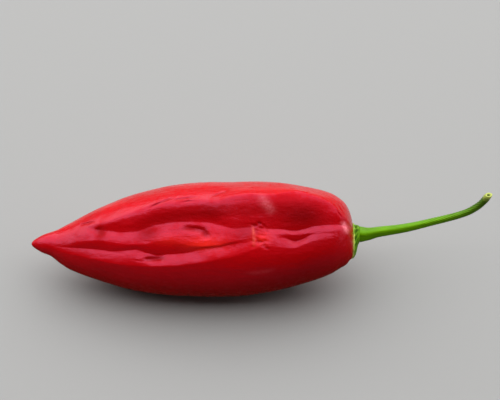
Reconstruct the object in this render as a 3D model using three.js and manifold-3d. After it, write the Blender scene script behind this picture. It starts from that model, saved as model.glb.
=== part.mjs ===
// A ripe red pointed chilli pepper as picked, lying on its side: the pod, the calyx that caps its
// shoulder and the curved green stem. Millimetres, +Z up. The pod lies along X with its tip towards
// -X and its stem towards +X. The origin is the middle of the small flat spot that it rests on.
import * as THREE from "three";
import { mergeVertices } from "three/addons/utils/BufferGeometryUtils.js";
import Module from "manifold-3d";

const wasm = await Module();
wasm.setup();
const { smoothstep, degToRad } = THREE.MathUtils;

// Driving dimensions
const podLength = 150;
const podRadius = 26.7; // at the thickest part of the pod
const restShare = 0.555; // where the flat spot lies, as a share of the length from the tip
const restCut = 0.6; // how deep the flat spot goes into the round underside
const faceTilt = degToRad(45); // the folded face looks forward and this far up
const calyxRadius = 7.6; // at its rim
const calyxHeight = 2.4; // from the pod's end to the stem
const calyxLobes = 6;
const calyxCentre = { up: -0.7, out: -0.6 }; // where its rim is centred, measured across the face
const stemRadius = 3.75; // at its root
const stemRoot = { up: 2.3, out: 1.2 }; // where the root is centred, measured across the face
const cutSlant = 0.58; // how far the stem's cut end leans from square towards level
const gap = 0.3; // clearance between pieces that touch
const reliefFade = 8; // folds and furrows fade out where the pod's radius is below this

// Mesh steps
const podSteps = 52;
const podSides = 64;
const calyxSides = 48;
const stemSides = 20;
const stemSteps = 30;

// The pod's outline: [share of the length from the tip, radius as a share of podRadius]. The first
// points are the small nipple at the tip, the last ones the blunt shoulder.
const outline = [
  [0, 0], [0.011, 0.079], [0.02, 0.113], [0.03, 0.145], [0.039, 0.17], [0.058, 0.214], [0.076, 0.266],
  [0.086, 0.3], [0.117, 0.402], [0.148, 0.486], [0.21, 0.634], [0.335, 0.86], [0.459, 0.972], [0.565, 1],
  [0.65, 0.997], [0.74, 0.958], [0.865, 0.818], [0.927, 0.705], [0.958, 0.6], [0.974, 0.53],
  [0.986, 0.425], [0.993, 0.335], [0.998, 0.2], [1, 0],
];

// Height of the pod's middle line against the thickest part: [share of the length, rise in mm]
const swing = [
  [0, -3], [0.039, -3.1], [0.058, -3.4], [0.086, -4.3], [0.117, -4.7], [0.148, -4.3], [0.21, -3.3],
  [0.335, -1.8], [0.522, 0], [0.615, 0.1], [0.74, 1.7], [0.865, 3.2], [0.95, 4], [0.983, 2.6], [1, -1.7],
];

// The folded face's ridges and folds, from its upper edge to its lower one. Each line runs along the
// pod: [share of the length, place across the face from 1 (upper edge) to -1 (lower edge), height in
// mm]. Come and leave say how steeply the skin reaches the line and goes on from it: 0 is a round
// crest or trough, 1 and more a crease. Where it changes along the line, it is a list of
// [share of the length, steepness].
const ridgeUpper = {
  come: 0.1,
  leave: [[0.57, 0.6], [0.64, 1.5], [0.88, 1.5], [0.95, 1]],
  line: [
    [0.173, 0.62, 0], [0.21, 0.57, 0.3], [0.241, 0.57, 0.7], [0.298, 0.61, 1.2], [0.335, 0.66, 1.6],
    [0.366, 0.7, 1.9], [0.413, 0.72, 2], [0.522, 0.69, 1.7], [0.572, 0.67, 1.6], [0.631, 0.76, 3.4],
    [0.678, 0.78, 4], [0.715, 0.76, 3.8], [0.746, 0.77, 3.8], [0.771, 0.8, 4.1], [0.796, 0.85, 4.6],
    [0.833, 0.88, 4.9], [0.87, 0.84, 4.3], [0.917, 0.76, 2.6], [0.97, 0.5, 0.4],
  ],
};
const foldUpper = {
  come: 0.6,
  leave: 1.3,
  line: [
    [0.173, 0.51, 0], [0.21, 0.41, -1.1], [0.241, 0.32, -1.8], [0.294, 0.23, -2.8], [0.332, 0.22, -3.5],
    [0.357, 0.26, -3.8], [0.397, 0.31, -4.1], [0.45, 0.32, -4.3], [0.534, 0.3, -4.3],
    [0.584, 0.25, -4.2], [0.631, 0.19, -4.1], [0.681, 0.2, -4], [0.734, 0.15, -4.5], [0.774, 0.13, -5.4],
    [0.815, 0.09, -5.8], [0.843, 0.12, -5.5], [0.874, 0.18, -4.5], [0.961, 0.25, -1.4], [0.992, 0.42, 0],
  ],
};
const ridgeMiddle = {
  come: 0.5,
  leave: 0.5,
  line: [
    [0.086, 0.13, 0], [0.154, 0.17, 0], [0.223, 0.1, -0.9], [0.294, -0.02, -1.9], [0.35, -0.04, -2.6],
    [0.397, 0.01, -3.1], [0.435, 0, -3.3], [0.475, -0.06, -3.3], [0.522, -0.11, -3.1],
    [0.572, -0.11, -3], [0.631, -0.03, -3.1], [0.671, 0, -3.3], [0.734, 0.05, -3.8],
    [0.783, 0.05, -4.6], [0.815, 0.02, -4.8], [0.861, 0.04, -4], [0.927, 0.06, -1.9], [0.989, 0.22, 0],
  ],
};
const foldLower = {
  come: [[0.47, 1.2], [0.54, 0.3], [0.68, 0.3], [0.76, 1.2]],
  leave: [[0.47, 1.2], [0.54, 0.3], [0.68, 0.3], [0.76, 1.2]],
  line: [
    [0.055, 0.02, 0], [0.105, -0.03, -0.2], [0.14, -0.06, -0.7], [0.192, -0.11, -1.6],
    [0.26, -0.17, -2.6], [0.329, -0.14, -3.4], [0.363, -0.21, -3.9], [0.397, -0.25, -4.4],
    [0.469, -0.23, -4.4], [0.537, -0.15, -4.1], [0.6, -0.09, -3.7], [0.653, -0.05, -3.3],
    [0.7, -0.04, -3.2], [0.75, -0.02, -3.6], [0.783, -0.03, -4.8], [0.815, -0.11, -5.6],
    [0.843, -0.07, -5], [0.868, 0.01, -3.9], [0.927, 0.02, -1.9], [0.989, 0.18, 0],
  ],
};
const crestLower = {
  come: 0.8,
  leave: 0.8,
  line: [
    [0.055, -0.22, 0], [0.086, -0.26, 0.1], [0.132, -0.32, 0.2], [0.192, -0.4, 0.2], [0.26, -0.46, 0],
    [0.329, -0.47, -0.1], [0.435, -0.45, -0.3], [0.537, -0.39, -0.8], [0.631, -0.28, -1.4],
    [0.678, -0.21, -1.9], [0.727, -0.16, -2.5], [0.774, -0.2, -2.9], [0.815, -0.23, -3.3],
    [0.843, -0.17, -3], [0.874, -0.13, -2.4], [0.97, -0.12, -0.7], [0.995, -0.08, 0],
  ],
};

// Shallow furrows round the rest of the pod: [share of the length, angle in degrees, depth in mm].
// The angle goes round from the folded face's upper edge: 90 is its middle, 225 the underside.
const furrows = [
  { width: 7, line: [[0.2, 318, 0], [0.4, 322, 1.6], [0.62, 330, 2.4], [0.8, 326, 2.8], [1, 320, 0]] },
  { width: 5, line: [[0.1, 290, 0], [0.24, 284, 1.1], [0.42, 276, 1.8], [0.56, 280, 0.9], [0.7, 286, 0]] },
  { width: 8, line: [[0.5, 264, 0], [0.64, 260, 1.2], [0.8, 260, 2], [0.93, 262, 1.4], [1, 264, 0]] },
  { width: 6, line: [[0.08, 236, 0], [0.18, 232, 0.8], [0.28, 230, 0.6], [0.38, 228, 0]] },
];

// The stem's middle line, level at its root and then ever steeper: [mm past the pod's end, mm up]
const stemLine = [
  [calyxHeight + gap, 0], [calyxHeight + 2.5, 0.04], [11.4, 1.6], [22.7, 4], [36.7, 8.6], [50.7, 14.1],
  [56.2, 18.4], [59.1, 22.3], [61, 25.9],
];
// The stem's thickness: [share of the stem's length, share of stemRadius]. It flares at its root,
// is slim past its middle and swells under the cut end.
const stemTaper = [
  [0, 1], [0.02, 0.94], [0.06, 0.8], [0.12, 0.67], [0.22, 0.6], [0.36, 0.525], [0.55, 0.45], [0.75, 0.42],
  [0.9, 0.425], [0.96, 0.455], [0.985, 0.45], [1, 0.38],
];

// A smooth curve through points [x, ..., value] that never swings past them
function through(points, column = 1) {
  const xs = points.map((point) => point[0]);
  const ys = points.map((point) => point[column]);
  const last = xs.length - 1;
  const rise = xs.slice(1).map((x, i) => (ys[i + 1] - ys[i]) / (x - xs[i]));
  const slopes = xs.map((_, i) => {
    const [before, after] = [rise[Math.max(i - 1, 0)], rise[Math.min(i, last - 1)]];
    return before * after <= 0 ? 0 : (2 * before * after) / (before + after);
  });
  return (x) => {
    if (x <= xs[0]) return ys[0];
    if (x >= xs[last]) return ys[last];
    const i = xs.findIndex((right) => x < right) - 1;
    const span = xs[i + 1] - xs[i];
    const s = (x - xs[i]) / span;
    const start = ys[i] * (1 + 2 * s) + slopes[i] * span * s;
    const end = ys[i + 1] * (3 - 2 * s) + slopes[i + 1] * span * (s - 1);
    return start * (1 - s) ** 2 + end * s ** 2;
  };
}

const squaredRadius = through(outline.map(([share, radius]) => [share, radius ** 2]));
const middleRise = through(swing);
const steepness = (value) => (Array.isArray(value) ? through(value) : () => value);
const faceLines = [ridgeUpper, foldUpper, ridgeMiddle, foldLower, crestLower].map(({ come, leave, line }) => ({
  come: steepness(come),
  leave: steepness(leave),
  across: through(line, 1),
  height: through(line, 2),
}));
const furrowLines = furrows.map(({ width, line }) => ({
  width,
  angle: through(line, 1),
  depth: through(line, 2),
}));

// From 0 to 1, with its steepness at the start and at the end
function ease(t, start, end) {
  return t * t * (3 - 2 * t) + t * (1 - t) * (start * (1 - t) - end * t);
}

// The folded face's relief at a place across it, eased from each line to the next
function relief(share, across) {
  let upper = 1;
  let from = 0;
  let start = 0;
  for (const { come, leave, across: at, height } of faceLines) {
    const lower = at(share);
    const to = height(share);
    if (across > lower) {
      return from + (to - from) * ease((upper - across) / (upper - lower), start, come(share));
    }
    upper = lower;
    from = to;
    start = leave(share);
  }
  return from * (1 - ease((upper - across) / (upper + 1), start, 0));
}

// How much the furrows take off the pod at an angle round it
function furrowDepth(share, angle, radius) {
  let depth = 0;
  for (const furrow of furrowLines) {
    const turn = angle - degToRad(furrow.angle(share));
    const away = radius * Math.atan2(Math.sin(turn), Math.cos(turn));
    depth += furrow.depth(share) * Math.exp(-((away / furrow.width) ** 2));
  }
  return depth;
}

// From the folded face's own directions (along the pod, up the face, out of it) to the part's frame
const axisHeight = podRadius - restCut;
function place(along, up, out) {
  return new THREE.Vector3(
    along - restShare * podLength,
    up * Math.sin(faceTilt) - out * Math.cos(faceTilt),
    up * Math.cos(faceTilt) + out * Math.sin(faceTilt) + axisHeight,
  );
}

// A point of the pod's skin, pushed out by grow
function skin(share, angle, grow = 0) {
  const radius = podRadius * Math.sqrt(Math.max(squaredRadius(share), 0));
  const fade = Math.min(1, radius / reliefFade);
  const reach = radius - furrowDepth(share, angle, radius) * fade + grow;
  const up = Math.cos(angle);
  const out = Math.sin(angle);
  const lift = relief(share, up) * smoothstep(out, 0, 0.3) * fade;
  const point = place(podLength * share + grow * (2 * share - 1), reach * up, reach * out + lift);
  point.z += middleRise(share) - middleRise(restShare);
  return point;
}

// Moves the vertices of a shape built round the Y axis: the shape's Y runs along the pod, its X up
// the folded face and its Z into it
function reshaped(geometry, move) {
  geometry.deleteAttribute("normal");
  geometry.deleteAttribute("uv");
  const shape = mergeVertices(geometry, 1e-5);
  const position = shape.attributes.position;
  for (let i = 0; i < position.count; i++) {
    const moved = move(position.getX(i), position.getY(i), -position.getZ(i));
    position.setXYZ(i, moved.x, moved.y, moved.z);
  }
  return shape;
}

function solid(geometry) {
  const mesh = new wasm.Mesh({
    numProp: 3,
    vertProperties: new Float32Array(geometry.attributes.position.array),
    triVerts: new Uint32Array(geometry.index.array),
  });
  return new wasm.Manifold(mesh);
}

function geometryOf(body) {
  const { vertProperties, triVerts } = body.getMesh();
  const geometry = new THREE.BufferGeometry();
  geometry.setAttribute("position", new THREE.BufferAttribute(vertProperties, 3));
  geometry.setIndex(new THREE.BufferAttribute(triVerts, 1));
  geometry.computeVertexNormals();
  return geometry;
}

// A sphere drawn out into the pod, with its rings closer together at the tip and the shoulder
function podShape(grow = 0) {
  const evenness = 0.25;
  return reshaped(new THREE.SphereGeometry(1, podSides, podSteps), (up, along, out) => {
    const even = Math.acos(THREE.MathUtils.clamp(-along, -1, 1)) / Math.PI;
    const crowded = (1 + along) / 2;
    return skin(evenness * even + (1 - evenness) * crowded, Math.atan2(out, up), grow);
  });
}

function makePod() {
  const material = new THREE.MeshStandardMaterial({ color: "#b5120f", roughness: 0.25, metalness: 0 });
  const mesh = new THREE.Mesh(geometryOf(solid(podShape()).trimByPlane([0, 0, 1], 0)), material);
  mesh.name = "pod";
  return mesh;
}

// A turned saucer, lobed at its rim and ribbed, that follows the shoulder and leans over to the
// stem's root. Its profile is [share of the way out to the rim, height above the pod's end].
function calyxShape() {
  const rootShare = stemRadius / calyxRadius;
  const sunk = -1.2;
  const profile = [
    [0, sunk], [1, sunk], [1, 0.55], [0.95, 0.8], [0.85, 1], [0.73, 1.35], [0.6, 1.85],
    [rootShare, calyxHeight], [0, calyxHeight],
  ];
  const shoulderDrop = through([[0, 0], [4.9, 0.5], [9.4, 1.7], [12, 3.3]]);
  const points = profile.map(([share, height]) => new THREE.Vector2(share, height));
  return reshaped(new THREE.LatheGeometry(points, calyxSides), (up, height, out) => {
    const share = Math.hypot(up, out);
    const angle = Math.atan2(out, up);
    const outward = smoothstep(share, rootShare, 1);
    const rootward = height > 0 ? 1 - outward : 0;
    const lobes = 0.07 * Math.cos(calyxLobes * angle + 0.6) + 0.05 * Math.cos(2 * angle);
    const ribs = outward > 0 ? 1 + 0.05 * Math.cos(2 * calyxLobes * angle) : 1;
    const drop = outward > 0 ? shoulderDrop(share * calyxRadius) : 0;
    const radius = share * calyxRadius * (1 + lobes * outward);
    return place(
      podLength + height * ribs - drop,
      calyxCentre.up + (stemRoot.up - calyxCentre.up) * rootward + radius * Math.cos(angle),
      calyxCentre.out + (stemRoot.out - calyxCentre.out) * rootward + radius * Math.sin(angle),
    );
  });
}

function makeCalyx() {
  const material = new THREE.MeshStandardMaterial({ color: "#5f8f14", roughness: 0.5, metalness: 0 });
  const body = solid(calyxShape()).subtract(solid(podShape(gap)));
  const mesh = new THREE.Mesh(geometryOf(body), material);
  mesh.name = "calyx";
  return mesh;
}

// A turned, tapering rod, faintly five-sided, bent upwards along the stem's middle line
function stemShape() {
  const points = stemLine.map(([along, rise]) => {
    const point = place(podLength + along, stemRoot.up, stemRoot.out);
    point.z += rise;
    return point;
  });
  const line = new THREE.CatmullRomCurve3(points, false, "centripetal");
  const taper = through(stemTaper);
  const profile = [new THREE.Vector2(0, 0)];
  for (let i = 0; i <= stemSteps; i++) {
    const share = i / stemSteps;
    profile.push(new THREE.Vector2(stemRadius * taper(share), share));
  }
  profile.push(new THREE.Vector2(0, 1));
  const side = new THREE.Vector3(0, 1, 0);
  return reshaped(new THREE.LatheGeometry(profile, stemSides), (up, share, out) => {
    const tangent = line.getTangentAt(share);
    const above = new THREE.Vector3().crossVectors(tangent, side).normalize();
    above.addScaledVector(tangent, -cutSlant * smoothstep(share, 0.93, 1));
    const ridges = 1 + 0.04 * Math.cos(5 * Math.atan2(out, up));
    return line
      .getPointAt(share)
      .addScaledVector(above, up * ridges)
      .addScaledVector(side, -out * ridges);
  });
}

function makeStem() {
  const material = new THREE.MeshStandardMaterial({ color: "#5d9b1b", roughness: 0.45, metalness: 0 });
  const mesh = new THREE.Mesh(geometryOf(solid(stemShape())), material);
  mesh.name = "stem";
  return mesh;
}

const pepper = new THREE.Group();
pepper.add(makePod(), makeCalyx(), makeStem());
export default pepper;
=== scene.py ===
import math
import random
from bisect import bisect_right

import bpy
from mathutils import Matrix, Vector, noise


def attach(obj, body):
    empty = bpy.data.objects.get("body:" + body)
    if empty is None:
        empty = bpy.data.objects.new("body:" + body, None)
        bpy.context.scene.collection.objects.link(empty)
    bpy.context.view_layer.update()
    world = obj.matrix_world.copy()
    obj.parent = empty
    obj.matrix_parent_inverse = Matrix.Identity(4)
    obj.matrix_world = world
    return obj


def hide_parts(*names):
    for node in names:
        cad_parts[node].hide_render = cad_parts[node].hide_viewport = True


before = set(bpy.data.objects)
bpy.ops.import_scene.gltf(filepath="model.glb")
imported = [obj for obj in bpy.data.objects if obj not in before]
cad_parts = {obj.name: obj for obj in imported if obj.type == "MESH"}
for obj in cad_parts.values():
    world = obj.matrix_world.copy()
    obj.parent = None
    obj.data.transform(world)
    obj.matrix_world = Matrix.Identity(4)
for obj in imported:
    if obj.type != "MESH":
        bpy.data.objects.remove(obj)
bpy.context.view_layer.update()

mm = 0.001
print("frame loaded")

# Every form below is measured in millimetres on the folded face, which looks forward and up.
face = {
    "tilt": math.radians(45),
    "axisHeight": 26.1,  # of the pod's middle line over the floor, at the rest spot
    "restAt": 83.25,  # distance from the tip to the rest spot
}


def place(along, up, out):  # from the face's directions to the part's frame
    s, c = math.sin(face["tilt"]), math.cos(face["tilt"])
    return Vector((along - face["restAt"], up * s - out * c, up * c + out * s + face["axisHeight"]))


def clamp(x, low=0.0, high=1.0):
    return min(max(x, low), high)


def smoothstep(x, start, end):
    t = clamp((x - start) / (end - start))
    return t * t * (3 - 2 * t)


def bell(x):
    return math.exp(-x * x)


def through(points, column=1):  # a smooth curve that never swings past its points
    xs = [p[0] for p in points]
    ys = [p[column] for p in points]
    last = len(xs) - 1
    rise = [(ys[i + 1] - ys[i]) / (xs[i + 1] - xs[i]) for i in range(last)]
    slopes = []
    for i in range(last + 1):
        before, after = rise[max(i - 1, 0)], rise[min(i, last - 1)]
        slopes.append(0 if before * after <= 0 else 2 * before * after / (before + after))

    def value(x):
        if x <= xs[0]:
            return ys[0]
        if x >= xs[last]:
            return ys[last]
        i = bisect_right(xs, x) - 1
        span = xs[i + 1] - xs[i]
        s = (x - xs[i]) / span
        start = ys[i] * (1 + 2 * s) + slopes[i] * span * s
        end = ys[i + 1] * (3 - 2 * s) + slopes[i + 1] * span * (s - 1)
        return start * (1 - s) ** 2 + end * s ** 2

    return value


def wobble(x, y, z, size, seed):  # smooth noise from -1 to 1
    return noise.noise(Vector((x / size + seed, y / size, z / size)))


def ringMesh(name, rings, masks):  # closed skin through rings of points; single points close its ends
    verts, starts = [], []
    for ring in rings:
        starts.append(len(verts))
        verts.extend(ring)
    polygons = []
    for i in range(len(rings) - 1):
        a, b, m, n = starts[i], starts[i + 1], len(rings[i]), len(rings[i + 1])
        for k in range(max(m, n)):
            j = (k + 1) % max(m, n)
            if m == 1:
                polygons.append((a, b + k, b + j))
            elif n == 1:
                polygons.append((a + k, b, a + j))
            else:
                polygons.append((a + k, b + k, b + j, a + j))
    mesh = bpy.data.meshes.new(name)
    mesh.from_pydata([v * mm for v in verts], [], polygons)
    mesh.polygons.foreach_set("use_smooth", [True] * len(mesh.polygons))
    for mask, values in masks.items():
        mesh.attributes.new(mask, "FLOAT", "POINT").data.foreach_set("value", values)
    mesh.update()
    piece = bpy.data.objects.new(name, mesh)
    bpy.context.scene.collection.objects.link(piece)
    return piece


# The pod
# How sharp a fold is that softens in its middle: [share of the length, steepness]
softMiddle = [[0.47, 1.2], [0.54, 0.3], [0.68, 0.3], [0.76, 1.2]]
pod = {
    "length": 150,
    "radius": 26.7,
    "inset": 0.08,  # keeps the fine skin just inside the plain solid
    "rings": 320,
    "sides": 288,
    "crowding": 0.35,  # of the sides onto the folded face
    "evenness": 0.3,  # 1 spaces the rings evenly, 0 crowds them at the tip and the shoulder
    "fade": 8,  # folds fade out where the radius is below this
    # Its radius along the length: [share of the length, share of the radius]
    "outline": [
        [0, 0], [0.011, 0.079], [0.02, 0.113], [0.03, 0.145], [0.039, 0.17], [0.058, 0.214],
        [0.076, 0.266], [0.086, 0.3], [0.117, 0.402], [0.148, 0.486], [0.21, 0.634], [0.335, 0.86],
        [0.459, 0.972], [0.565, 1], [0.65, 0.997], [0.74, 0.958], [0.865, 0.818], [0.927, 0.705],
        [0.958, 0.6], [0.974, 0.53], [0.986, 0.425], [0.993, 0.335], [0.998, 0.2], [1, 0],
    ],
    # How its middle line rises and falls: [share of the length, height]
    "swing": [
        [0, -3], [0.039, -3.1], [0.058, -3.4], [0.086, -4.3], [0.117, -4.7], [0.148, -4.3],
        [0.21, -3.3], [0.335, -1.8], [0.522, 0], [0.615, 0.1], [0.74, 1.7], [0.865, 3.2], [0.95, 4],
        [0.983, 2.6], [1, -1.7],
    ],
    # The face's folds from its upper edge to its lower one: how steeply the skin comes to the fold
    # and leaves it, then [share of the length, place across, height]
    "folds": {
        "ridgeUpper": (0.1, [[0.57, 0.6], [0.64, 1.5], [0.88, 1.5], [0.95, 1]], [
            [0.173, 0.62, 0], [0.21, 0.57, 0.3], [0.241, 0.57, 0.7], [0.298, 0.61, 1.2], [0.335, 0.66, 1.6],
            [0.366, 0.7, 1.9], [0.413, 0.72, 2], [0.522, 0.69, 1.7], [0.572, 0.67, 1.6], [0.631, 0.76, 3.4],
            [0.678, 0.78, 4], [0.715, 0.76, 3.8], [0.746, 0.77, 3.8], [0.771, 0.8, 4.1], [0.796, 0.85, 4.6],
            [0.833, 0.88, 4.9], [0.87, 0.84, 4.3], [0.917, 0.76, 2.6], [0.97, 0.5, 0.4],
        ]),
        "foldUpper": (0.6, 1.3, [
            [0.173, 0.51, 0], [0.21, 0.41, -1.1], [0.241, 0.32, -1.8], [0.294, 0.23, -2.8],
            [0.332, 0.22, -3.5], [0.357, 0.26, -3.8], [0.397, 0.31, -4.1], [0.45, 0.32, -4.3],
            [0.534, 0.3, -4.3], [0.584, 0.25, -4.2], [0.631, 0.19, -4.1], [0.681, 0.2, -4],
            [0.734, 0.15, -4.5], [0.774, 0.13, -5.4], [0.815, 0.09, -5.8], [0.843, 0.12, -5.5],
            [0.874, 0.18, -4.5], [0.961, 0.25, -1.4], [0.992, 0.42, 0],
        ]),
        "ridgeMiddle": (0.5, 0.5, [
            [0.086, 0.13, 0], [0.154, 0.17, 0], [0.223, 0.1, -0.9], [0.294, -0.02, -1.9], [0.35, -0.04, -2.6],
            [0.397, 0.01, -3.1], [0.435, 0, -3.3], [0.475, -0.06, -3.3], [0.522, -0.11, -3.1],
            [0.572, -0.11, -3], [0.631, -0.03, -3.1], [0.671, 0, -3.3], [0.734, 0.05, -3.8],
            [0.783, 0.05, -4.6], [0.815, 0.02, -4.8], [0.861, 0.04, -4], [0.927, 0.06, -1.9],
            [0.989, 0.22, 0],
        ]),
        "foldLower": (softMiddle, softMiddle, [
            [0.055, 0.02, 0], [0.105, -0.03, -0.2], [0.14, -0.06, -0.7], [0.192, -0.11, -1.6],
            [0.26, -0.17, -2.6], [0.329, -0.14, -3.4], [0.363, -0.21, -3.9], [0.397, -0.25, -4.4],
            [0.469, -0.23, -4.4], [0.537, -0.15, -4.1], [0.6, -0.09, -3.7], [0.653, -0.05, -3.3],
            [0.7, -0.04, -3.2], [0.75, -0.02, -3.6], [0.783, -0.03, -4.8], [0.815, -0.11, -5.6],
            [0.843, -0.07, -5], [0.868, 0.01, -3.9], [0.927, 0.02, -1.9], [0.989, 0.18, 0],
        ]),
        "crestLower": (0.8, 0.8, [
            [0.055, -0.22, 0], [0.086, -0.26, 0.1], [0.132, -0.32, 0.2], [0.192, -0.4, 0.2], [0.26, -0.46, 0],
            [0.329, -0.47, -0.1], [0.435, -0.45, -0.3], [0.537, -0.39, -0.8], [0.631, -0.28, -1.4],
            [0.678, -0.21, -1.9], [0.727, -0.16, -2.5], [0.774, -0.2, -2.9], [0.815, -0.23, -3.3],
            [0.843, -0.17, -3], [0.874, -0.13, -2.4], [0.97, -0.12, -0.7], [0.995, -0.08, 0],
        ]),
    },
    # Furrows round the rest of the pod: width, then [share of the length, angle, depth]
    "furrows": [
        (7, [[0.2, 318, 0], [0.4, 322, 1.6], [0.62, 330, 2.4], [0.8, 326, 2.8], [1, 320, 0]]),
        (5, [[0.1, 290, 0], [0.24, 284, 1.1], [0.42, 276, 1.8], [0.56, 280, 0.9], [0.7, 286, 0]]),
        (8, [[0.5, 264, 0], [0.64, 260, 1.2], [0.8, 260, 2], [0.93, 262, 1.4], [1, 264, 0]]),
        (6, [[0.08, 236, 0], [0.18, 232, 0.8], [0.28, 230, 0.6], [0.38, 228, 0]]),
    ],
    # Creases on the face, painted darker inside as shade: width, then [share of the length, place across,
    # depth]
    "creases": [
        (0.55, [[0.366, 0.64, 0], [0.39, 0.69, 0.8], [0.428, 0.75, 0.9], [0.453, 0.76, 0]]),
        (0.5, [[0.43, 0.7, 0], [0.455, 0.73, 0.8], [0.49, 0.74, 0.8], [0.53, 0.76, 0]]),
        (0.5, [[0.55, 0.72, 0], [0.575, 0.78, 0.9], [0.6, 0.83, 0.6], [0.625, 0.87, 0]]),
        (0.5, [[0.46, 0.66, 0], [0.49, 0.68, 0.6], [0.52, 0.68, 0]]),
        (0.7, [[0.151, 0.73, 0], [0.164, 0.71, 0.7], [0.185, 0.68, 0.7], [0.201, 0.67, 0]]),
        (1.5, [[0.206, 0.47, 0], [0.212, 0.39, 0.7], [0.22, 0.27, 0.3], [0.228, 0.18, 0]]),
        (1.4, [[0.467, 0.22, 0], [0.484, 0.215, 0.8], [0.516, 0.185, 1.1], [0.534, 0.155, 1.1],
               [0.544, 0.08, 0.9], [0.55, 0, 0]]),
        (1.2, [[0.352, -0.32, 0], [0.366, -0.335, 0.9], [0.403, -0.315, 0.9], [0.419, -0.3, 0]]),
        (0.4, [[0.229, -0.22, 0], [0.248, -0.19, 0.15], [0.279, -0.22, 0.15], [0.304, -0.24, 0]]),
        (0.4, [[0.316, -0.32, 0], [0.335, -0.36, 0.2], [0.363, -0.38, 0]]),
        (0.5, [[0.944, 0.78, 0], [0.954, 0.68, 0.4], [0.966, 0.6, 0]]),
        (0.5, [[0.953, 0.86, 0], [0.962, 0.77, 0.4], [0.97, 0.7, 0]]),
        (0.45, [[0.942, 0.62, 0], [0.952, 0.52, 0.3], [0.958, 0.45, 0]]),
    ],
    # The scar across the face: width, then [share of the length, place across, strength]
    "scar": (0.5, [[0.684, 0.24, 0], [0.688, 0.16, 0.9], [0.69, 0.02, 1], [0.689, -0.08, 0.6],
                   [0.69, -0.16, 0]]),
    # Short fine creases round the scar
    "wrinkles": {
        "count": 30,
        "seed": 7,
        "width": 0.5,
        "depth": 0.4,
        "turns": (-60, -15),  # in degrees
        "lengths": (1.5, 4),
        "spread": 1.9,
        "places": [[0.697, 0.2], [0.712, -0.12], [0.704, 0.08]],  # share of the length, place across
    },
    # Painted highlights, pale pink streaks and glints: width, then [share of the length, place across,
    # strength]
    "paintedHighlights": [
        (2, [[0.704, 0.78, 0], [0.714, 0.71, 0.2], [0.727, 0.61, 0.26], [0.742, 0.49, 0.16],
             [0.754, 0.41, 0]]),
        (1.2, [[0.961, 0.4, 0], [0.966, 0.3, 0.9], [0.972, 0.14, 0.8], [0.976, 0, 0]]),
        (1, [[0.66, -0.58, 0], [0.69, -0.6, 0.06], [0.73, -0.6, 0.06], [0.76, -0.58, 0]]),
    ],
    # Patches of the skin, as [share of the length, place across, length, width, strength]: less glossy,
    # orange where the flesh shines through, and painted shade that darkens the folds and the underside
    "patches": {
        "dulled": [
            [0.386, -0.31, 4, 1.1, 1], [0.502, 0.205, 5, 1, 0.8], [0.54, 0.12, 1.6, 2, 0.7],
            [0.221, 0.3, 2.2, 3.2, 0.9], [0.665, 0.5, 10, 6, 0.75], [0.64, 0.14, 9, 3.5, 0.5],
            [0.366, 0.2, 4.5, 3.2, 0.9], [0.67, -0.22, 11, 3.5, 0.9], [0.6, -0.34, 8, 2.5, 0.7],
            [0.775, 0.66, 7, 5.5, 0.85], [0.83, 0.62, 9, 5, 0.9], [0.91, 0.62, 7, 4, 0.7],
        ],
        "flushed": [[0.54, -0.06, 9, 3.4, 1], [0.43, 0.03, 7, 2.4, 0.4], [0.714, 0, 4.5, 3, 0.8]],
        "paintedShade": [
            [0.84, 0.42, 12, 7, 0.9], [0.7, 0.5, 12, 5, 0.5], [0.665, 0.12, 8, 4, 0.45],
            [0.43, 0.42, 17, 3.6, 0.5], [0.366, 0.17, 5, 3.2, 0.6], [0.57, 0.5, 10, 4, 0.5],
            [0.221, 0.3, 2.4, 3.4, 0.6], [0.386, -0.31, 4, 1.1, 0.9], [0.502, 0.205, 5, 1, 0.7],
            [0.54, 0.12, 1.6, 2, 0.7], [0.55, -0.95, 75, 15, 0.5], [0.85, -0.6, 25, 14, 0.45],
        ],
    },
    "notch": {"share": 0.062, "angle": 205, "length": 2.6, "width": 5, "depth": 0.6},  # under the tip
    "lumps": [(14, 0.3), (5, 0.09)],  # size and height of the skin's unevenness
    "smoothBack": 0.25,  # share of the unevenness on the side that faces down
}


def ease(t, start, end):  # from 0 to 1, with a sharper or softer start and end
    return t * t * (3 - 2 * t) + t * (1 - t) * (start * (1 - t) - end * t)


def steepness(value):  # of a fold, which may change along the pod
    return through(value) if isinstance(value, list) else lambda share: value


def nearLine(points, y):  # how far the point (0, y) is from a line, and the line's value there
    closest, value = math.inf, 0.0
    for (x1, y1, value1), (x2, y2, value2) in zip(points, points[1:]):
        dx, dy = x2 - x1, y2 - y1
        t = clamp(((y - y1) * dy - x1 * dx) / (dx * dx + dy * dy + 1e-9))
        away = math.hypot(x1 + t * dx, y - y1 - t * dy)
        if away < closest:
            closest, value = away, value1 + (value2 - value1) * t
    return closest, value


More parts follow.
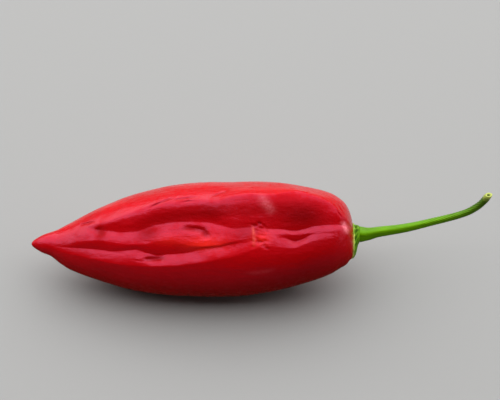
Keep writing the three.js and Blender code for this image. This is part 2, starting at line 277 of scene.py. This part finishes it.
class PodShape:
    def __init__(self):
        squared = through([[share, radius ** 2] for share, radius in pod["outline"]])
        self.radius = lambda share: pod["radius"] * math.sqrt(max(squared(share), 0))
        swing = through(pod["swing"])
        restRise = swing(face["restAt"] / pod["length"])
        self.rise = lambda share: swing(share) - restRise
        self.folds = [
            (steepness(come), steepness(leave), through(line, 1), through(line, 2))
            for come, leave, line in pod["folds"].values()
        ]
        self.furrows = [(width, through(line, 1), through(line, 2)) for width, line in pod["furrows"]]
        self.creases = pod["creases"] + self.wrinkles()

    def wrinkles(self):
        kind = pod["wrinkles"]
        draw = random.Random(kind["seed"])
        wrinkles = []
        for _ in range(kind["count"]):
            share, across = draw.choice(kind["places"])
            share += draw.gauss(0, kind["spread"]) / pod["length"]
            across += draw.gauss(0, kind["spread"]) / pod["radius"]
            turn = math.radians(draw.uniform(*kind["turns"]))
            half = draw.uniform(*kind["lengths"]) / 2
            along = half * math.cos(turn) / pod["length"]
            up = half * math.sin(turn) / pod["radius"]
            line = [[share + k * along, across + k * up, kind["depth"] * (k == 0)] for k in (-1, 0, 1)]
            wrinkles.append((kind["width"], line))
        return wrinkles

    def lines(self, share, radius, lines):  # those near this ring, laid flat beside it
        near = []
        for width, points in lines:
            reach = 3 * width  # beyond it nothing of the line is left
            flat = [
                ((at - share) * pod["length"], radius * math.acos(clamp(across, -1, 1)), value)
                for at, across, value in points
            ]
            along = [x for x, _, _ in flat]
            around = [y for _, y, _ in flat]
            if min(along) < reach and max(along) > -reach:
                near.append((width, min(around) - reach, max(around) + reach, flat))
        return near

    def pressed(self, lines, y):  # their total depth or strength at one place of the ring
        total = 0.0
        for width, low, high, points in lines:
            if low < y < high:
                away, depth = nearLine(points, y)
                total += depth * bell(away / width)
        return total

    def patches(self, share):  # their strength on this ring
        return {
            mask: [
                (across, width, strength * bell((share - at) * pod["length"] / length))
                for at, across, length, width, strength in spots
            ]
            for mask, spots in pod["patches"].items()
        }

    def folded(self, steps, up):  # height of the folded face between the two folds beside this place
        for (_, leave, upper, high), (come, _, lower, low) in zip(steps, steps[1:]):
            if up > lower or lower == -1:
                return high + (low - high) * ease((upper - up) / (upper - lower), leave, come)

    def end(self, up, out):  # how far along the pod its shoulder lies at a place seen from the stem
        low, high = 0.9, 1.0
        for _ in range(24):
            share = (low + high) / 2
            shift = self.rise(share) * math.sqrt(0.5)
            inside = math.hypot(up - shift, out - shift) < self.radius(share)
            low, high = (share, high) if inside else (low, share)
        return low * pod["length"]

    def tip(self, share, masks):  # the point that closes one end
        point = place(pod["length"] * share, 0, 0)
        point.z += self.rise(share)
        for mask in masks.values():
            mask.append(0.0)
        return [point]

    def ring(self, share, turns, masks):
        radius, rise = self.radius(share), self.rise(share)
        fade = min(1, radius / pod["fade"])
        folds = [tuple(value(share) for value in fold) for fold in self.folds]
        steps = [(0, 0, 1, 0)] + folds + [(0, 0, -1, 0)]
        furrowed = [
            (width, math.radians(angle(share)), depth(share))
            for width, angle, depth in self.furrows
        ]
        creases = self.lines(share, radius, self.creases)
        scars = self.lines(share, radius, [pod["scar"]])
        paintedHighlights = self.lines(share, radius, pod["paintedHighlights"])
        patches = self.patches(share)
        notch = pod["notch"]
        notched = notch["depth"] * bell((share - notch["share"]) * pod["length"] / notch["length"])
        ring = []
        for angle, up, out in turns:
            reach = radius - pod["inset"]
            for width, middle, depth in furrowed:
                away = radius * math.atan2(math.sin(angle - middle), math.cos(angle - middle))
                reach -= fade * depth * bell(away / width)
            reach -= notched * bell(radius * (angle - math.radians(notch["angle"])) / notch["width"])
            lift, crease, scarred, paintedHighlight = 0.0, 0.0, 0.0, 0.0
            if out > 0:
                crease = self.pressed(creases, radius * angle)
                scarred = self.pressed(scars, radius * angle)
                paintedHighlight = self.pressed(paintedHighlights, radius * angle)
                lift = (self.folded(steps, up) - crease) * smoothstep(out, 0, 0.3) * fade
            x, y, z = pod["length"] * share, radius * up, radius * out
            uneven = fade * (pod["smoothBack"] + (1 - pod["smoothBack"]) * smoothstep(up, -0.5, -0.25))
            for size, height in pod["lumps"]:
                lift += height * uneven * wobble(x, y, z, size, size)
            point = place(x, reach * up, reach * out + lift)
            point.z = max(point.z + rise, 0)
            ring.append(point)
            masks["creaseShade"].append(clamp(crease))
            masks["scarred"].append(clamp(scarred))
            masks["paintedHighlight"].append(clamp(paintedHighlight))
            for mask, spots in patches.items():
                total = 0.0
                for across, width, strength in spots:
                    total += strength * bell((up - across) * radius / width)
                masks[mask].append(clamp(total) * smoothstep(out, 0, 0.2))
        return ring

    def rings(self):
        even = [2 * math.pi * k / pod["sides"] for k in range(pod["sides"])]
        angles = [a + pod["crowding"] * math.cos(a) for a in even]
        turns = [(a, math.cos(a), math.sin(a)) for a in angles]
        masks = {name: [] for name in ("creaseShade", "scarred", "paintedHighlight", *pod["patches"])}
        rings = [self.tip(0, masks)]
        for i in range(1, pod["rings"]):
            polar = i / pod["rings"]
            share = pod["evenness"] * polar + (1 - pod["evenness"]) * (1 - math.cos(math.pi * polar)) / 2
            rings.append(self.ring(share, turns, masks))
        rings.append(self.tip(1, masks))
        return rings, masks


podShape = PodShape()
podSkin = ringMesh("podSkin", *podShape.rings())
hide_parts("pod")
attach(podSkin, "root")
print("pod made:", len(podSkin.data.polygons), "faces")

# The calyx
calyx = {
    "radius": 7.6,
    "height": 2.4,
    "centre": (-0.7, -0.6),  # of its rim, up the face and out of it
    "root": (2.3, 1.2),  # of the stem, likewise
    "rootRadius": 3.75,
    "sides": 144,
    "steps": 30,
    "slope": [[0.6, 1.8], [0.73, 1.3], [0.85, 0.97], [0.95, 0.76]],  # share of the radius, height
    "lobes": 6,
    "lobeDepth": 0.09,
    "lobeTurn": 0.3,
    "oval": 0.05,
    "ragged": 0.02,
    "ribs": 13,
    "ribHeight": 0.5,
    "ribWidth": 0.2,
    "ribLean": 0.12,
    "seed": 3,
    "sunk": 0.25,  # how far its rim is pressed into the skin
    "lip": 0.5,  # thickness at the rim
}


def calyxRings():
    draw = random.Random(calyx["seed"])
    leans = [draw.uniform(-calyx["ribLean"], calyx["ribLean"]) for _ in range(calyx["ribs"])]
    (centreUp, centreOut), (rootUp, rootOut) = calyx["centre"], calyx["root"]
    rootShare = calyx["rootRadius"] / calyx["radius"]
    profile = through([[rootShare, calyx["height"]], *calyx["slope"], [1, calyx["lip"]]])
    # From the middle of the underside out to the rim, over the lip and up to the root
    path = [(share / 8, -calyx["sunk"]) for share in range(1, 8)]
    path += [(0.985, -calyx["sunk"]), (1, calyx["lip"] * 0.45), (0.992, calyx["lip"])]
    for i in range(1, calyx["steps"] + 1):
        share = 1 - (1 - rootShare) * i / calyx["steps"]
        path.append((share, profile(share)))
    path += [(rootShare * 0.66, calyx["height"]), (rootShare * 0.33, calyx["height"])]
    rings, masks = [], {"rim": [], "hollow": []}

    def point(share, height, angle):
        outward = smoothstep(share, rootShare, 1)
        rootward = 1 - outward if height > 0 else 0
        lobe = abs(math.cos(calyx["lobes"] * angle / 2 + calyx["lobeTurn"])) ** 0.7
        lobes = calyx["lobeDepth"] * (lobe - 0.5)
        lobes += calyx["oval"] * math.cos(2 * angle)
        lobes += calyx["ragged"] * wobble(math.cos(angle), math.sin(angle), 0, 0.3, 9)
        radius = share * calyx["radius"] * (1 + lobes * outward)
        up = centreUp + (rootUp - centreUp) * rootward + radius * math.cos(angle)
        out = centreOut + (rootOut - centreOut) * rootward + radius * math.sin(angle)
        rib = calyx["ribs"] * angle / (2 * math.pi)
        lean = leans[int(rib) % calyx["ribs"]] * (1 - outward)
        crest = bell((rib % 1 - 0.5 - lean) / calyx["ribWidth"])
        swell = math.sin(math.pi * clamp((1.04 - share) / (1.04 - rootShare))) if height > 0 else 0
        onPod = outward if height > 0 else 1
        level = onPod * podShape.end(up, out) + (1 - onPod) * pod["length"] + height
        level += calyx["ribHeight"] * (crest - 0.5) * swell * outward
        return place(level, up, out), crest * swell, swell

    def middle(spot):  # the point that closes one end
        rings.append([spot])
        masks["rim"].append(0.0)
        masks["hollow"].append(0.0)

    middle(place(podShape.end(centreUp, centreOut) - calyx["sunk"], centreUp, centreOut))
    for share, height in path:
        ring = []
        for k in range(calyx["sides"]):
            spot, crest, swell = point(share, height, 2 * math.pi * k / calyx["sides"])
            ring.append(spot)
            masks["rim"].append(smoothstep(share, 0.96, 0.995))
            # High in the dips between the ribs; it paints shade there and roughens the skin
            masks["hollow"].append(clamp(swell - crest) if height > 0 else 0.0)
        rings.append(ring)
    middle(place(pod["length"] + calyx["height"], rootUp, rootOut))
    return rings, masks


calyxCap = ringMesh("calyxCap", *calyxRings())
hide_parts("calyx")
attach(calyxCap, "root")

# The stem
stem = {
    "radius": 3.68,
    "sides": 72,
    "steps": 480,
    # Its middle line: [past the pod's end, up]
    "line": [
        [2.46, 0], [4.9, 0.04], [11.4, 1.6], [22.7, 4], [36.7, 8.6], [50.7, 14.1], [56.2, 18.4],
        [59.1, 22.3], [60.9, 25.9],
    ],
    "samples": 2000,  # of that line
    # Its radius along that line: [share of the line, share of the radius]
    "taper": [
        [0, 1], [0.02, 0.94], [0.06, 0.8], [0.12, 0.67], [0.22, 0.6], [0.36, 0.525], [0.55, 0.45],
        [0.75, 0.42], [0.9, 0.425], [0.96, 0.455], [0.985, 0.45], [1, 0.38],
    ],
    "ridges": 5,
    "ridgeHeight": 0.035,  # as a share of the radius
    "ridgeTwist": 0.01,  # radians a millimetre
    "uneven": 0.02,  # as a share of the radius
    "threads": 8,  # fine ribs that wind round the slim part
    "threadPitch": 1.5,  # from one to the next along the stem
    "threadHeight": 0.08,
    "slant": 0.58,  # of the cut end, which is nearly level
    # From the cut's edge to its pith: [share of the radius, push outwards, how much cut, how much pith]
    "cut": [
        [0.93, 0.06, 0.8, 0], [0.8, 0, 1, 0], [0.62, -0.12, 1, 0.1], [0.48, -0.2, 1, 0.6],
        [0.34, -0.55, 1, 1],
    ],
    "pithDepth": 0.8,
}


def stemRings():
    rise = through(stem["line"])
    taper = through(stem["taper"])
    first, last = stem["line"][0][0], stem["line"][-1][0]
    xs = [first + (last - first) * i / stem["samples"] for i in range(stem["samples"] + 1)]
    fine = [(x, rise(x)) for x in xs]
    lengths = [0.0]
    for (x1, z1), (x2, z2) in zip(fine, fine[1:]):
        lengths.append(lengths[-1] + math.hypot(x2 - x1, z2 - z1))
    root = place(pod["length"], *calyx["root"])
    side = Vector((0, 1, 0))
    rings, masks = [], {"along": [], "groove": [], "cut": [], "pith": []}

    def mark(*values):  # the masks' values at one point
        for mask, value in zip(masks.values(), values):
            mask.append(value)

    def spot(i):
        x, z = fine[i]
        return root + Vector((x, 0, z))

    def heading(i, j):
        (x1, z1), (x2, z2) = fine[i], fine[j]
        return Vector((x2 - x1, 0, z2 - z1)).normalized()

    def ring(share, scale, push=0.0, cut=0.0, pith=0.0):
        i = min(max(bisect_right(lengths, share * lengths[-1]) - 1, 1), len(fine) - 2)
        tangent = heading(i - 1, i + 1)
        above = side.cross(tangent)
        middle = spot(i if share < 1 else -1) + tangent * push
        radius = stem["radius"] * taper(share) * scale
        away = share * lengths[-1]
        threaded = smoothstep(share, 0.35, 0.6) * (1 - smoothstep(share, 0.95, 0.99)) * (1 - cut)
        lean = above + tangent * stem["slant"] * smoothstep(share, 0.93, 1)
        points = []
        for k in range(stem["sides"]):
            angle = 2 * math.pi * k / stem["sides"]
            ridge = math.cos(stem["ridges"] * angle + stem["ridgeTwist"] * away)
            thread = math.cos(stem["threads"] * angle + 2 * math.pi * away / stem["threadPitch"])
            uneven = wobble(away, radius * math.cos(angle), radius * math.sin(angle), 2.5, 4)
            reach = radius * (1 + stem["ridgeHeight"] * ridge * (1 - cut) + stem["uneven"] * uneven)
            reach += stem["threadHeight"] * threaded * thread
            points.append(middle + lean * reach * math.cos(angle) - side * reach * math.sin(angle))
            # The second value is high in the grooves between the fine ribs and ridges; it paints shade there
            mark(share, clamp(0.5 - 0.5 * thread * threaded - 0.25 * ridge), cut, pith)
        rings.append(points)

    mark(0.0, 0.0, 0.0, 0.0)
    rings.append([spot(0)])
    ring(0, 0.9)
    for i in range(stem["steps"] + 1):
        ring(i / stem["steps"], 1)
    for scale, push, cut, pith in stem["cut"]:
        ring(1, scale, push, cut, pith)
    mark(1.0, 0.0, 1.0, 1.0)
    rings.append([spot(-1) - heading(-2, -1) * stem["pithDepth"]])
    return rings, masks


stemStalk = ringMesh("stemStalk", *stemRings())
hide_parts("stem")
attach(stemStalk, "root")
print("calyx and stem made:", len(calyxCap.data.polygons), len(stemStalk.data.polygons), "faces")


# Shader nodes, written as expressions
class Socket:
    def __init__(self, shader, socket):
        self.shader, self.socket = shader, socket

    def math(self, operation, other):
        return self.shader.add("ShaderNodeMath", {"operation": operation}, {0: self, 1: other})

    def __add__(self, other):
        return self.math("ADD", other)

    def __mul__(self, other):
        return self.math("MULTIPLY", other)

    __radd__, __rmul__ = __add__, __mul__


class Shader:  # one material and its nodes
    def __init__(self, name):
        self.material = bpy.data.materials.new(name)
        self.material.use_nodes = True
        self.tree = self.material.node_tree
        self.principled = self.tree.nodes["Principled BSDF"]

    def link(self, value, socket):
        if isinstance(value, Socket):
            self.tree.links.new(value.socket, socket)
        else:
            socket.default_value = value

    def add(self, kind, settings, inputs, output=0):
        node = self.tree.nodes.new(kind)
        for name, setting in settings.items():
            if name == "stops":  # of a ramp between greys
                for element, (position, level) in zip(node.color_ramp.elements, setting):
                    element.position, element.color = position, (level, level, level, 1)
            else:
                setattr(node, name, setting)
        for name, value in inputs.items():
            self.link(value, node.inputs[name])
        return Socket(self, node.outputs[output])

    def objectSpace(self):
        return self.add("ShaderNodeTexCoord", {}, {}, "Object")

    def stretched(self, vector, scale):
        return self.add("ShaderNodeMapping", {}, {"Vector": vector, "Scale": scale})

    def noise(self, vector, scale, detail=3, roughness=0.5):
        inputs = {"Vector": vector, "Scale": scale, "Detail": detail, "Roughness": roughness}
        return self.add("ShaderNodeTexNoise", {}, inputs)

    def ramp(self, factor, *stops):
        return self.add("ShaderNodeValToRGB", {"stops": stops}, {0: factor})

    def mask(self, name):
        return self.add("ShaderNodeAttribute", {"attribute_name": name}, {}, 2)  # its value

    def mix(self, factor, a, b):  # of two colours, which a Mix node keeps behind its other kinds
        return self.add("ShaderNodeMix", {"data_type": "RGBA"}, {0: factor, 6: a, 7: b}, 2)

    def bump(self, strength, distance, height):
        inputs = {"Strength": strength, "Distance": distance, "Height": height}
        return self.add("ShaderNodeBump", {}, inputs)

    def surface(self, inputs):
        for name, value in inputs.items():
            self.link(value, self.principled.inputs[name])

    def duller(self, share, inputs):  # a second surface over the first, as far as share says
        first = Socket(self, self.principled.outputs[0])
        second = self.add("ShaderNodeBsdfPrincipled", {}, inputs)
        both = self.add("ShaderNodeMixShader", {}, {0: share, 1: first, 2: second})
        self.link(both, self.tree.nodes["Material Output"].inputs["Surface"])


podFinish = {
    "red": (0.5, 0.0006, 0.003, 1),
    "deepRed": (0.4, 0.0006, 0.0014, 1),
    # Painted shade for the folds and the underside
    "paintedShadeRed": (0.2, 0.0004, 0.0002, 1),
    # Painted shade in the creases
    "creaseShadeRed": (0.28, 0.0005, 0.0003, 1),
    "flushOrange": (0.72, 0.014, 0.006, 1),
    "scarTan": (0.66, 0.08, 0.05, 1),
    # Painted highlight, pale pink
    "highlightPink": (0.95, 0.25, 0.3, 1),
    "roughness": 0.17,
    "gloss": 0.5,
    "dullRoughness": 0.42,
    "dullGloss": 0.12,
    "specularTint": (1, 0.35, 0.7, 1),
    "creaseShadeStrength": 0.75,
    "blotchStrength": 0.65,
    "reliefDepth": 0.0008,
    # Scales of the noises: the larger, the finer
    "blotches": 230,
    "dimples": 420,
    "breakup": 900,
    "grain": 1500,
    "streaks": (18, 90, 90),  # stretched along the pod
    "growthLines": (130, 460, 460),  # likewise
}


def podMaterial():
    s = Shader("podSkin")
    where = s.objectSpace()
    mottle = s.noise(s.stretched(where, podFinish["streaks"]), 1, 4)
    colour = s.mix(s.ramp(mottle, (0.35, 0), (0.7, 1)), podFinish["red"], podFinish["deepRed"])
    # Painted shade: darker red in the folds and on the underside
    colour = s.mix(s.mask("paintedShade"), colour, podFinish["paintedShadeRed"])
    colour = s.mix(s.mask("flushed"), colour, podFinish["flushOrange"])
    # Painted shade in the creases, as dark as they are deep
    colour = s.mix(s.mask("creaseShade") * podFinish["creaseShadeStrength"], colour, podFinish["creaseShadeRed"])
    brokenUp = s.ramp(s.noise(where, podFinish["breakup"]), (0.3, 0.3), (0.65, 1))
    # Painted highlights and glints, broken up by noise; the scar below is the skin's own colour
    colour = s.mix(s.mask("paintedHighlight") * brokenUp, colour, podFinish["highlightPink"])
    colour = s.mix(s.mask("scarred") * brokenUp, colour, podFinish["scarTan"])
    grain = s.noise(where, podFinish["grain"], 2)
    dimples = s.noise(where, podFinish["dimples"])
    growth = s.noise(s.stretched(where, podFinish["growthLines"]), 1, 4, 0.6)
    bump = s.bump(0.5, podFinish["reliefDepth"], grain * 0.12 + dimples * 0.3 + growth * 0.6)
    skin = {"Base Color": colour, "Specular Tint": podFinish["specularTint"], "Normal": bump}
    glossy = podFinish["roughness"] + 0.16 * mottle + 0.3 * s.mask("scarred")
    s.surface({**skin, "Roughness": glossy, "Specular IOR Level": podFinish["gloss"]})
    blotch = s.ramp(s.noise(where, podFinish["blotches"], 4, 0.6), (0.45, 0), (0.7, 1))
    dulled = s.mask("dulled") * (0.8 + 0.5 * mottle) + podFinish["blotchStrength"] * blotch
    s.duller(dulled, {
        **skin, "Roughness": podFinish["dullRoughness"], "Specular IOR Level": podFinish["dullGloss"],
    })
    return s.material


greenFinish = {
    "calyx": (0.13, 0.3, 0.004, 1),
    # Darker green at random, and painted shade in the hollows between the ribs
    "calyxDeepAndShade": (0.016, 0.06, 0.001, 1),
    "rim": (0.5, 0.52, 0.12, 1),
    "stem": (0.11, 0.27, 0.001, 1),
    # Darker along the fibres, and painted shade in the grooves between the fine ribs
    "stemDeepAndShade": (0.024, 0.08, 0.0006, 1),
    "stemTip": (0.032, 0.062, 0.006, 1),
    "cutFlesh": (0.42, 0.44, 0.12, 1),
    "pith": (0.05, 0.05, 0.01, 1),
    "roughness": 0.34,
    "gloss": 0.65,
    "specularTint": (0.45, 1, 0.1, 1),
    # Scales of the noises: the larger, the finer
    "calyxMottle": 500,
    "calyxGrain": 1200,
    "rimBreaks": 350,
    "collarBreaks": 700,
    "stemGrain": 1100,
    "fibres": (60, 900, 900),  # stretched along the stem
}


def greenSurface(s, colour, roughness, bump):
    s.surface({
        "Base Color": colour,
        "Roughness": greenFinish["roughness"] + roughness,
        "Specular IOR Level": greenFinish["gloss"],
        "Specular Tint": greenFinish["specularTint"],
        "Normal": bump,
    })
    return s.material


def calyxMaterial():
    s = Shader("calyxCap")
    where = s.objectSpace()
    mottle = s.ramp(s.noise(where, greenFinish["calyxMottle"], 4), (0.35, 0), (0.68, 1))
    hollow = s.mask("hollow")
    # Mottled tone, plus painted shade in the hollows between the ribs
    colour = s.mix(mottle * 0.5 + hollow * 0.7, greenFinish["calyx"], greenFinish["calyxDeepAndShade"])
    broken = s.ramp(s.noise(where, greenFinish["rimBreaks"], 2), (0.38, 0.25), (0.55, 1))
    colour = s.mix(s.mask("rim") * broken, colour, greenFinish["rim"])
    bump = s.bump(0.4, 0.0002, s.noise(where, greenFinish["calyxGrain"], 4))
    return greenSurface(s, colour, 0.15 * mottle + 0.35 * hollow, bump)


def stemMaterial():
    s = Shader("stemStalk")
    where = s.objectSpace()
    streak = s.ramp(s.noise(s.stretched(where, greenFinish["fibres"]), 1), (0.35, 0), (0.7, 1))
    # Darker along the fibres, plus painted shade in the grooves between the fine ribs
    colour = s.mix(streak * 0.35 + s.mask("groove") * 0.4, greenFinish["stem"], greenFinish["stemDeepAndShade"])
    along, cut = s.mask("along"), s.mask("cut")
    aged = s.ramp(along, (0.5, 0), (0.92, 1))
    colour = s.mix(aged * 0.75, colour, greenFinish["stemTip"])
    collar = s.ramp(along, (0.95, 0), (0.99, 1))
    colour = s.mix(collar * s.noise(where, greenFinish["collarBreaks"]), colour, greenFinish["rim"])
    flesh = s.mix(s.mask("pith"), greenFinish["cutFlesh"], greenFinish["pith"])
    colour = s.mix(cut, colour, flesh)
    grain = s.noise(where, greenFinish["stemGrain"])
    bump = s.bump(0.35, 0.00015, grain * 0.5 + streak * 0.5)
    return greenSurface(s, colour, 0.2 * cut, bump)


podSkin.data.materials.append(podMaterial())
calyxCap.data.materials.append(calyxMaterial())
stemStalk.data.materials.append(stemMaterial())
print("skin, calyx and stem finished")

# The floor, the light and the camera
stage = {
    "floor": 3.0,
    "seam": 0.02,  # hidden behind the pod
    "floorColour": (0.25, 0.25, 0.247, 1),
    "floorRoughness": 0.8,
    "fill": (0.022, 0.016, 0.01, 1),  # the world's own light
    # Soft boxes: [centre, turn about X and Z in degrees, width, depth, radiance]
    "softBoxes": {
        "overhead": [(-0.6, 1.025, 1.2), (0, 0), 5.2, 3.45, 2.75],
        "behind": [(0.8, 3.5, 0.6), (-90, 0), 4.0, 1.2, 0.1],
        "front": [(0, -1.5, 1.35), (48, 0), 3.0, 0.9, 0.15],
        "side": [(2.4, 0.2, 0.75), (90, 90), 2.2, 1.0, 1.6],
    },
}

camera = {
    "lens": 200,
    "distance": 1.29,
    "target": (0.0184, 0.0129, 0.0390),
}


def makeFloor():
    s = Shader("floor")
    s.surface({"Base Color": stage["floorColour"], "Roughness": stage["floorRoughness"]})
    half, seam = stage["floor"] / 2, stage["seam"]
    for name, near, far in (("floorFront", -half, seam), ("floorBack", seam, half)):
        mesh = bpy.data.meshes.new(name)
        corners = [(-half, near, 0), (half, near, 0), (half, far, 0), (-half, far, 0)]
        mesh.from_pydata(corners, [], [(0, 1, 2, 3)])
        mesh.materials.append(s.material)
        floor = bpy.data.objects.new(name, mesh)
        bpy.context.scene.collection.objects.link(floor)
        floor.visible_glossy = near == seam  # only the far half mirrors in the skin


def makeLights():
    for name, (centre, (turnX, turnZ), width, depth, radiance) in stage["softBoxes"].items():
        light = bpy.data.lights.new(name, "AREA")
        light.shape = "RECTANGLE"
        light.size, light.size_y = width, depth
        light.energy = radiance * math.pi * width * depth
        box = bpy.data.objects.new(name, light)
        box.location = centre
        box.rotation_euler = (math.radians(turnX), 0, math.radians(turnZ))
        bpy.context.scene.collection.objects.link(box)
    world = bpy.data.worlds.new("fill")
    bpy.context.scene.world = world
    world.use_nodes = True
    world.node_tree.nodes["Background"].inputs["Color"].default_value = stage["fill"]


def makeCamera():
    lens = bpy.data.cameras.new("camera")
    lens.lens = camera["lens"]
    eye = bpy.data.objects.new("camera", lens)
    back = Vector((0, -math.cos(face["tilt"]), math.sin(face["tilt"])))
    eye.location = Vector(camera["target"]) + back * camera["distance"]
    eye.rotation_mode = "QUATERNION"
    eye.rotation_quaternion = (-back).to_track_quat("-Z", "Y")
    bpy.context.scene.collection.objects.link(eye)
    bpy.context.scene.camera = eye
    bpy.context.scene.view_settings.view_transform = "Standard"


makeFloor()
makeLights()
makeCamera()
print("stage set")
